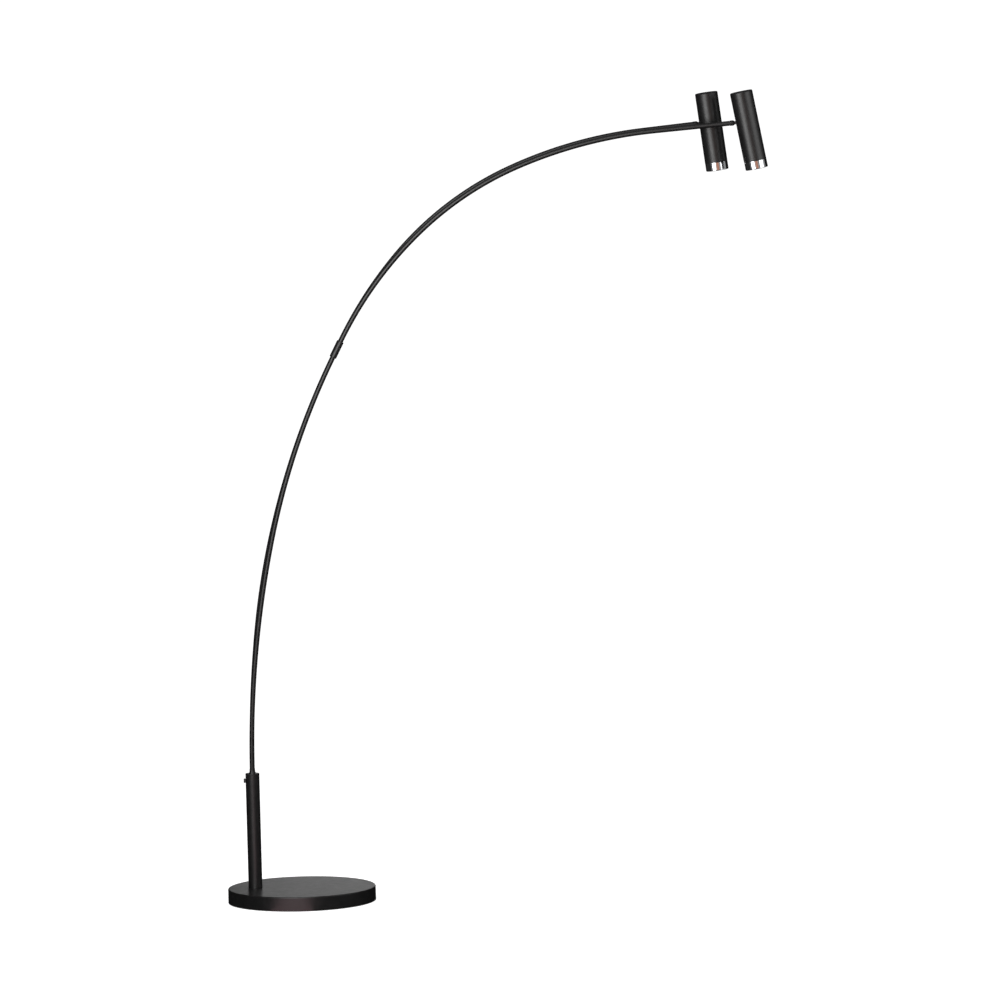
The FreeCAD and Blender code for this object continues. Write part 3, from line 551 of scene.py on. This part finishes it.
def make_pole():
    tube = turned([
        (POLE_BORE, BASE_HEIGHT),
        (POLE_RADIUS, BASE_HEIGHT, CRISP),
        (POLE_RADIUS, POLE_TOP, EASED),
        (POLE_BORE, POLE_TOP, BROKEN),
    ])
    at_pole = Matrix.Translation((POLE_X, 0, 0))
    piece("pole_tube_drawn", tube, at_pole, "base", "pole_tube", COATED)


def make_plug():
    """The plug turns in the pole; the clamp screw's stud reaches into its groove."""
    foot_edge, rim_edge = 0.0008, 0.0007
    groove_low = CLAMP_HEIGHT - PLUG_GROOVE_HEIGHT / 2
    groove_high = CLAMP_HEIGHT + PLUG_GROOVE_HEIGHT / 2
    under_flange = PLUG_TOP - PLUG_FLANGE
    plug = turned([
        (0, PLUG_FOOT),
        (PLUG_SHAFT, PLUG_FOOT, foot_edge),
        (PLUG_SHAFT, groove_low),
        (PLUG_GROOVE_RADIUS, groove_low),
        (PLUG_GROOVE_RADIUS, groove_high),
        (PLUG_SHAFT, groove_high),
        (PLUG_SHAFT, under_flange),
        (POLE_RADIUS, under_flange, BROKEN),
        (POLE_RADIUS, PLUG_TOP, rim_edge),
        (0, PLUG_TOP),
    ])
    at_pole = Matrix.Translation((POLE_X, 0, 0))
    piece("swivel_plug_turned", plug, at_pole, "arms", "swivel_plug", COATED)


def lies_at(item, height):
    """Whether a vertex, edge or face lies at one height."""
    verts = [item] if isinstance(item, VERT) else item.verts
    return all(abs(vert.co.z - height) < LEVEL for vert in verts)


def knurled_knob(seat, crown):
    """A knob whose rim is a ring of ridges, with a coin slot across its crown."""
    ridge, valley, ridges, edge = 0.0055, 0.00515, 26, 0.0006
    slot_half_width, slot_depth = 0.0006, 0.0014

    knob = bmesh.new()
    rim = bmesh.ops.create_circle(knob, cap_ends=True, segments=ridges * 2, radius=ridge)["verts"]
    for number, vert in enumerate(rim):
        if number % 2:
            vert.co *= valley / ridge
    bmesh.ops.translate(knob, verts=rim, vec=(0, 0, seat + edge))
    foot = rim[0].link_faces[0]
    crown_face = thicken(knob, [foot], crown - seat - edge * 2)[1][0]
    for face, rise in ((crown_face, edge), (foot, -edge)):
        bmesh.ops.inset_region(knob, faces=[face], thickness=edge)
        bmesh.ops.translate(knob, verts=list(face.verts), vec=(0, 0, rise))

    # the crown is cut along two lines, and the strip between them is pushed in
    for side in (-1, 1):
        on_crown = [item for item in [*knob.verts, *knob.edges, *knob.faces]
                    if lies_at(item, crown)]
        bmesh.ops.bisect_plane(knob, geom=on_crown, plane_co=(0, side * slot_half_width, 0),
                               plane_no=(0, 1, 0))
    strip = [face for face in knob.faces
             if lies_at(face, crown) and abs(face.calc_center_median().y) < slot_half_width]
    sink(knob, strip, slot_depth)
    return knob


def make_clamp_screw():
    """A knurled knob pressed on its stud; the screw stands off the pole along -X."""
    stud, tip, seat, stud_end, crown = 0.0025, 0.0143, 0.0172, 0.0196, 0.0216
    tip_edge = 0.0006
    place = (Matrix.Translation((POLE_X, 0, CLAMP_HEIGHT))
             @ Matrix.Rotation(-QUARTER_TURN, 4, "Y"))
    piece("clamp_knob_knurled", knurled_knob(seat, crown), place, "clamp", "clamp_knob", COATED)
    thread = turned([
        (0, tip),
        (stud, tip, tip_edge),
        (stud, stud_end, BROKEN),
        (0, stud_end),
    ], STUD_STEPS)
    piece("clamp_stud_threaded", thread, place, "clamp", "clamp_stud", PLATED)


# ---------------------------------------------------------------------------------------------
# Arms and knuckles
# ---------------------------------------------------------------------------------------------

def make_ferrule(name, place):
    """A small trumpet that closes the joint between the rod and the plug."""
    foot, foot_height, shoulder, tip, height, rings = 0.0079, 0.0016, 0.0073, 0.0065, 0.011, 9
    corners = [(FIT_RADIUS, 0), (foot, 0, CRISP), (foot, foot_height, EASED)]
    for number in range(1, rings + 1):
        share = number / rings
        corners.append((tip + (shoulder - tip) * (1 - share) ** 2,
                        foot_height + (height - foot_height) * share))
    corners.append((FIT_RADIUS, height))
    piece(name + "_ferrule_turned", turned(corners), place, "arms", name + "_ferrule", COATED)


def make_arm(name, arm):
    """Two bent rods, their coupler and the ferrule at their foot; gives the pivot's placement."""
    foot = (Matrix.Translation((POLE_X, arm["side"] * ROD_SPACING / 2, PLUG_TOP))
            @ Matrix.Rotation(arm["side"] * FAN_ANGLE, 4, "Z"))
    in_socket = foot @ Matrix.Translation((0, 0, -SOCKET_DEPTH))
    lower = [SOCKET_DEPTH] + arm["lower"] + [COUPLER_STRAIGHT]
    upper = [COUPLER_STRAIGHT] + arm["upper"] + [arm["end"] - ROD_END_SETBACK]
    joint = in_socket @ walk(lower)
    rod_end = joint @ walk(upper)

    make_ferrule(name, foot)
    for part, path, place in (("lower", lower, in_socket), ("upper", upper, joint)):
        node = "%s_%s_rod" % (name, part)
        tube = swept_tube(path, ROD_RADIUS, ROD_BORE)
        piece(node + "_bent", tube, place, "arms", node, COATED)
    sleeve = turned([
        (FIT_RADIUS, -COUPLER_HALF_LENGTH),
        (COUPLER_RADIUS, -COUPLER_HALF_LENGTH, COUPLER_EDGE),
        (COUPLER_RADIUS, COUPLER_HALF_LENGTH, COUPLER_EDGE),
        (FIT_RADIUS, COUPLER_HALF_LENGTH),
    ])
    piece(name + "_coupler_turned", sleeve, joint, "arms", name + "_coupler", COATED)
    return rod_end @ Matrix.Translation((0, 0, ROD_END_SETBACK))


def add_tongue(shape):
    """The flat tongue with its eye, drawn out of the collar's nose."""
    outer = bmesh.ops.create_circle(shape, cap_ends=False, segments=TONGUE_SIDES,
                                    radius=TONGUE_HALF_HEIGHT)["verts"]
    eye = bmesh.ops.create_circle(shape, cap_ends=False, segments=TONGUE_SIDES,
                                  radius=TONGUE_EYE_RADIUS)["verts"]
    plate = bmesh.ops.bridge_loops(shape, edges=edges_at(outer + eye))["faces"]
    for vert in outer:
        if vert.co.y < -WELD:
            vert.co.y -= COLLAR_NOSE + TONGUE_ROOT
    far = thicken(shape, plate, TONGUE_THICKNESS)[0]
    whole = outer + eye + far
    bmesh.ops.translate(shape, verts=whole, vec=(0, 0, -TONGUE_THICKNESS / 2))
    bmesh.ops.rotate(shape, verts=whole, cent=(0, 0, 0),
                     matrix=Matrix.Rotation(QUARTER_TURN, 3, "X"))


def grub_screw():
    """A headless screw; its hexagon socket is a circle pushed out to the hexagon's flats."""
    radius, inside, outside = 0.00142, 0.00273, 0.00642
    flats, socket_depth, side_turn = 0.00075, 0.0011, math.tau / 6
    grub = turned([
        (0, inside),
        (radius, inside, BROKEN),
        (radius, outside, CRISP),
        (0, outside),
    ], SMALL_STEPS)
    crown = [face for face in grub.faces if face.calc_center_median().z > outside - WELD]
    bmesh.ops.dissolve_faces(grub, faces=crown)
    top = max(grub.faces, key=lambda face: face.calc_center_median().z)
    bmesh.ops.inset_region(grub, faces=[top], thickness=BROKEN)
    for vert in top.verts:
        bearing = math.atan2(vert.co.y, vert.co.x) % side_turn - side_turn / 2
        reach = flats / math.cos(bearing) / math.hypot(vert.co.x, vert.co.y)
        vert.co.x, vert.co.y = vert.co.x * reach, vert.co.y * reach
    sink(grub, [top], socket_depth)
    return grub


def make_knuckle(name, pivot):
    """The collar turns on the rod's stud; the pivot's frame has +Z along the rod."""
    body = name + "_knuckle_body"
    shape = turned([
        (STUD_BORE, -COLLAR_BACK),
        (COLLAR_RADIUS, -COLLAR_BACK, EASED),
        (COLLAR_RADIUS, -COLLAR_NOSE, COLLAR_NOSE_ROUNDING),
        (0, -COLLAR_NOSE),
        (0, -STUD_BORE_END),
        (STUD_BORE, -STUD_BORE_END),
    ], KNUCKLE_STEPS)
    add_tongue(shape)
    piece(name + "_knuckle_turned", shape, pivot, body, name + "_knuckle", COATED)

    half_way = -(COLLAR_BACK + COLLAR_NOSE) / 2
    place = (pivot @ Matrix.Translation((0, 0, half_way))
             @ Matrix.Rotation(QUARTER_TURN, 4, "Y"))
    piece(name + "_knuckle_grub_socket", grub_screw(), place, body, name + "_knuckle_grub",
          BLACKENED)


# ---------------------------------------------------------------------------------------------
# Heads: the head's frame has its axis along Z with the mouth at zero
# ---------------------------------------------------------------------------------------------

SLOT_COLUMNS = 5
SLOT_HALF_ANGLE = SLOT_COLUMNS / 2 * math.tau / SHELL_STEPS


def head_shell():
    """A deep-drawn can whose slot faces -X; rows and columns of its grid meet the slot's edges."""
    inside, ceiling = HEAD_RADIUS - HEAD_WALL, HEAD_LENGTH - HEAD_WALL
    slot_low, slot_high = PIVOT_HEIGHT - SLOT_HALF_HEIGHT, PIVOT_HEIGHT + SLOT_HALF_HEIGHT
    shape = turned([
        (inside, RING_HEIGHT),
        (HEAD_RADIUS, RING_HEIGHT, CRISP),
        (HEAD_RADIUS, slot_low),
        (HEAD_RADIUS, slot_high),
        (HEAD_RADIUS, HEAD_LENGTH, HEAD_EDGE),
        (0, HEAD_LENGTH),
        (0, ceiling),
        (inside, ceiling, HEAD_EDGE - HEAD_WALL),
        (inside, slot_high),
        (inside, slot_low),
    ], SHELL_STEPS, start=SLOT_HALF_ANGLE)
    bmesh.ops.remove_doubles(shape, verts=shape.verts, dist=WELD)
    in_slot = []
    for face in shape.faces:
        middle = face.calc_center_median()
        off_slot = abs(math.atan2(middle.y, -middle.x))
        if slot_low < middle.z < slot_high and off_slot < SLOT_HALF_ANGLE:
            in_slot.append(face)
    bmesh.ops.delete(shape, geom=in_slot, context="FACES_ONLY")
    loose = [edge for edge in shape.edges if not edge.link_faces]
    bmesh.ops.delete(shape, geom=loose, context="EDGES")
    bmesh.ops.bridge_loops(shape, edges=[edge for edge in shape.edges if edge.is_boundary])
    return shape


def trim_ring():
    """The ring closes the mouth, and its spigot slips up into the shell."""
    spigot = HEAD_RADIUS - HEAD_WALL - FIT_GAP
    return turned([
        (RING_BORE, 0, CRISP),
        (HEAD_RADIUS, 0, RING_EDGE),
        (HEAD_RADIUS, RING_HEIGHT, CRISP),
        (spigot, RING_HEIGHT),
        (spigot, SPIGOT_TOP, CRISP),
        (RING_BORE, SPIGOT_TOP, CRISP),
    ])


def bulb_housing():
    """A cup that holds the lens in its rim and narrows to a neck."""
    rim_width, rim_top, taper_top, neck, top = 0.0016, 0.019, 0.046, 0.0145, 0.062
    rim_edge, taper_foot, taper_end, top_edge = 0.0006, 0.001, 0.002, 0.001
    seat = BULB_RECESS + LENS_THICKNESS
    return turned([
        (BULB_RADIUS - rim_width, BULB_RECESS, BROKEN),
        (BULB_RADIUS, BULB_RECESS, rim_edge),
        (BULB_RADIUS, rim_top, taper_foot),
        (neck, taper_top, taper_end),
        (neck, top, top_edge),
        (0, top),
        (0, seat),
        (BULB_RADIUS - rim_width, seat),
    ])


def bulb_lens():
    """The lens is a shallow disc with close-packed pillows on its face."""
    foot, crown, pitch, rise, rows, sunk = 0.00189, 0.000945, 0.003402, 0.00045, 6, 0.00001
    radius = LENS_RADIUS - FIT_GAP
    shape = turned([
        (0, BULB_RECESS),
        (radius, BULB_RECESS, BROKEN),
        (radius, BULB_RECESS + LENS_THICKNESS),
        (0, BULB_RECESS + LENS_THICKNESS),
    ])
    for row in range(-rows, rows + 1):
        for column in range(-rows, rows + 1):
            x = (column + row / 2) * pitch
            y = row * pitch * math.sqrt(3) / 2
            if math.hypot(x, y) + foot > LENS_RADIUS:
                continue
            place = Matrix.Translation((x, y, BULB_RECESS - rise / 2 + sunk))
            bmesh.ops.create_cone(shape, cap_ends=True, segments=6, radius1=crown,
                                  radius2=foot, depth=rise, matrix=place)
    return shape


def make_head(name, arm, pivot):
    body = name + "_head_body"
    place = (Matrix.Translation(pivot.translation)
             @ Matrix.Rotation(arm["side"] * FAN_ANGLE, 4, "Z")
             @ Matrix.Rotation(-arm["lean"], 4, "Y")
             @ Matrix.Translation((HEAD_RADIUS - PIVOT_INSET, 0, -PIVOT_HEIGHT)))
    piece(name + "_head_shell_drawn", head_shell(), place, body, name + "_head_shell", COATED)
    piece(name + "_trim_ring_plated", trim_ring(), place, body, name + "_trim_ring", CHROMED)
    piece(name + "_bulb_housing", bulb_housing(), place, body, name + "_bulb_body", BULB_WHITE)
    piece(name + "_bulb_lens_pillowed", bulb_lens(), place, body, name + "_bulb_lens", FROSTED)


def carry_over():
    """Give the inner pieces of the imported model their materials."""
    for node, carried in frame["nodes"].items():
        kind = node.removeprefix("front_").removeprefix("back_")
        if kind in CARRIED_OVER:
            carried.data.materials.clear()
            carried.data.materials.append(CARRIED_OVER[kind])


# ---------------------------------------------------------------------------------------------
# Studio: white floor and surroundings, soft lamps, and cards that only reflections see
# ---------------------------------------------------------------------------------------------

WHITE = "#ffffff"
WORLD_LIGHT = 0.45
FLOOR_HALF = 120.0
FLOOR_PAINT = "#e6e6e6"
FLOOR_GLOW = 0.72

# each soft lamp: its place, its aim, its width and height, and its radiance
SOFTBOXES = {
    "softbox_left": ((-0.52, -2.77, 1.7), (0.55, 0.0, 1.2), 1.8, 2.4, 6.6),
    "softbox_right": ((2.62, -1.0, 1.85), (1.08, 0.0, 1.75), 1.35, 1.5, 2.6),
    "softbox_top": ((0.1, -2.6, 3.9), (0.45, 0.0, 1.6), 1.2, 0.8, 5.0),
}

# what the cards stand round
STAND = (0.0, 0.0)
MIDDLE = (0.45, 0.0)
HEADS = (1.08, 0.0)

# dark cloth hangs round the lamp and lies on the floor, with a window left in it behind the lamp
VELVET = "#1c1c1c"
GREY_CLOTH = "#808080"
TENT_RADIUS = 4.6
TENT_HEIGHT = 4.0
WINDOW = (170, 190)
WINDOW_TOP = 1.7
ROUND_TO_WINDOW = (WINDOW[1] - 360, WINDOW[0])
WALL = (TENT_RADIUS, 0), (TENT_RADIUS, TENT_HEIGHT)
LINTEL = (TENT_RADIUS, WINDOW_TOP), (TENT_RADIUS, TENT_HEIGHT)
CEILING = (0, TENT_HEIGHT), (TENT_RADIUS, TENT_HEIGHT)

# a rosy card lies on the floor just in front of the stand
ABOVE_FLOOR = 0.0005
FLOOR_CARD_RADIUS = 1.1
FLOOR_CARD_SIDES = (-25, 10)
ROUND_TO_CARD = (10, 335)
WHOLE_FLOOR = (0, ABOVE_FLOOR), (TENT_RADIUS, ABOVE_FLOOR)
INNER_FLOOR = (0, ABOVE_FLOOR), (FLOOR_CARD_RADIUS, ABOVE_FLOOR)
OUTER_FLOOR = (FLOOR_CARD_RADIUS, ABOVE_FLOOR), (TENT_RADIUS, ABOVE_FLOOR)

# tall and low cards stand round the heads, for the chromed rings
CARD_RADIUS = 3.2
TALL = (CARD_RADIUS, 0.3), (CARD_RADIUS, 3.0)
LOW = (CARD_RADIUS, 1.0), (CARD_RADIUS, 1.9)

# each card: its colour and strength, what it stands round, its bearings and the line it sweeps
CARDS = {
    "flag_wall": (VELVET, 1.0, MIDDLE, ROUND_TO_WINDOW, WALL),
    "flag_lintel": (VELVET, 1.0, MIDDLE, WINDOW, LINTEL),
    "flag_top": (GREY_CLOTH, 1.0, MIDDLE, (-180, 180), CEILING),
    "flag_floor": (VELVET, 1.0, STAND, ROUND_TO_CARD, WHOLE_FLOOR),
    "flag_floor_front": (VELVET, 1.0, STAND, FLOOR_CARD_SIDES, OUTER_FLOOR),
    "card_floor": ("#dcb2b8", 1.9, STAND, FLOOR_CARD_SIDES, INNER_FLOOR),
    "card_left": ("#383838", 1.0, HEADS, (-125, -62), TALL),
    "card_slate": ("#909090", 1.0, HEADS, (-62, -48), TALL),
    "card_copper": ("#dc9c82", 1.0, HEADS, (0, 20), LOW),
    "card_rose": ("#ecd0c4", 1.0, HEADS, (-12, 0), LOW),
    "card_taupe": ("#c6c2c0", 1.0, HEADS, (20, 34), LOW),
    "card_right": ("#b4b4b4", 1.0, HEADS, (76, 100), TALL),
}
CARD_STEP_DEGREES = 5


def seen_rays(tree):
    """1 for rays from the camera and for those that a mirror or glass sends on."""
    path = add(tree, "LightPath")
    first = add(tree, "Math", {0: path.outputs["Is Camera Ray"], 1: path.outputs["Is Glossy Ray"]},
                operation="MAXIMUM")
    both = add(tree, "Math", {0: first.outputs[0], 1: path.outputs["Is Transmission Ray"]},
               operation="MAXIMUM")
    return both.outputs[0]


def make_world():
    """Plain light all round, and pure white where it is seen."""
    world = bpy.data.worlds.new("studio")
    bpy.context.scene.world = world
    world.use_nodes = True
    tree = world.node_tree
    tree.nodes.clear()
    light = add(tree, "Background", {"Color": paint(WHITE), "Strength": WORLD_LIGHT})
    white = add(tree, "Background", {"Color": paint(WHITE), "Strength": 1.0})
    mix = add(tree, "MixShader", {0: seen_rays(tree), 1: light.outputs[0], 2: white.outputs[0]})
    add(tree, "OutputWorld", {"Surface": mix.outputs[0]})


def make_floor():
    """A white floor that looks brighter than it lights."""
    material, tree = blank_material("floor_white_vinyl")
    matt = add(tree, "BsdfDiffuse", {"Color": paint(FLOOR_PAINT)})
    glow = add(tree, "Emission", {"Color": paint(WHITE), "Strength": FLOOR_GLOW})
    lifted = add(tree, "AddShader", {0: matt.outputs[0], 1: glow.outputs[0]})
    mix = add(tree, "MixShader", {0: seen_rays(tree), 1: matt.outputs[0], 2: lifted.outputs[0]})
    add(tree, "OutputMaterial", {"Surface": mix.outputs[0]})
    shape = bmesh.new()
    bmesh.ops.create_grid(shape, x_segments=1, y_segments=1, size=FLOOR_HALF)
    linked_object("floor", shape, material)


def make_softbox(name, place, aim, width, tall, radiance):
    data = bpy.data.lights.new(name, "AREA")
    data.shape, data.size, data.size_y = "RECTANGLE", width, tall
    data.energy = radiance * math.pi * width * tall
    lamp = bpy.data.objects.new(name, data)
    lamp.location = place
    lamp.rotation_mode = "QUATERNION"
    lamp.rotation_quaternion = (Vector(aim) - Vector(place)).to_track_quat("-Z", "Y")
    lamp.visible_camera = False
    bpy.context.scene.collection.objects.link(lamp)


def make_card(name, code, strength, centre, bearings, line):
    """A card swept round a point, seen only in reflections.

    Bearings run from the camera's side to the right, in degrees; the line that is swept is
    given by its two ends, each a radius and a height.
    """
    material, tree = blank_material(name)
    glow = add(tree, "Emission", {"Color": paint(code), "Strength": strength})
    add(tree, "OutputMaterial", {"Surface": glow.outputs[0]})
    start, sweep = bearings[0], bearings[1] - bearings[0]
    shape = bmesh.new()
    ends = [shape.verts.new((0, -radius, height)) for radius, height in line]
    edge = shape.edges.new(ends)
    bmesh.ops.rotate(shape, verts=ends, cent=(0, 0, 0),
                     matrix=Matrix.Rotation(math.radians(start), 3, "Z"))
    bmesh.ops.spin(shape, geom=ends + [edge], cent=(0, 0, 0), axis=(0, 0, 1),
                   angle=math.radians(sweep), steps=max(1, round(sweep / CARD_STEP_DEGREES)),
                   use_merge=False)
    bmesh.ops.translate(shape, verts=shape.verts, vec=(*centre, 0))
    card = linked_object(name, shape, material)
    card.visible_camera = card.visible_diffuse = card.visible_shadow = False
    card.visible_transmission = card.visible_volume_scatter = False


# ---------------------------------------------------------------------------------------------
# The scene
# ---------------------------------------------------------------------------------------------

make_camera()

make_base_cover()
make_foot_pad()
make_grommet()
make_pole()
make_plug()
make_clamp_screw()
for arm_name, arm_sizes in ARMS.items():
    arm_pivot = make_arm(arm_name, arm_sizes)
    make_knuckle(arm_name, arm_pivot)
    make_head(arm_name, arm_sizes, arm_pivot)
carry_over()

make_world()
make_floor()
for softbox, softbox_settings in SOFTBOXES.items():
    make_softbox(softbox, *softbox_settings)
for card_name, card_settings in CARDS.items():
    make_card(card_name, *card_settings)

bpy.context.scene.view_settings.view_transform = "Standard"
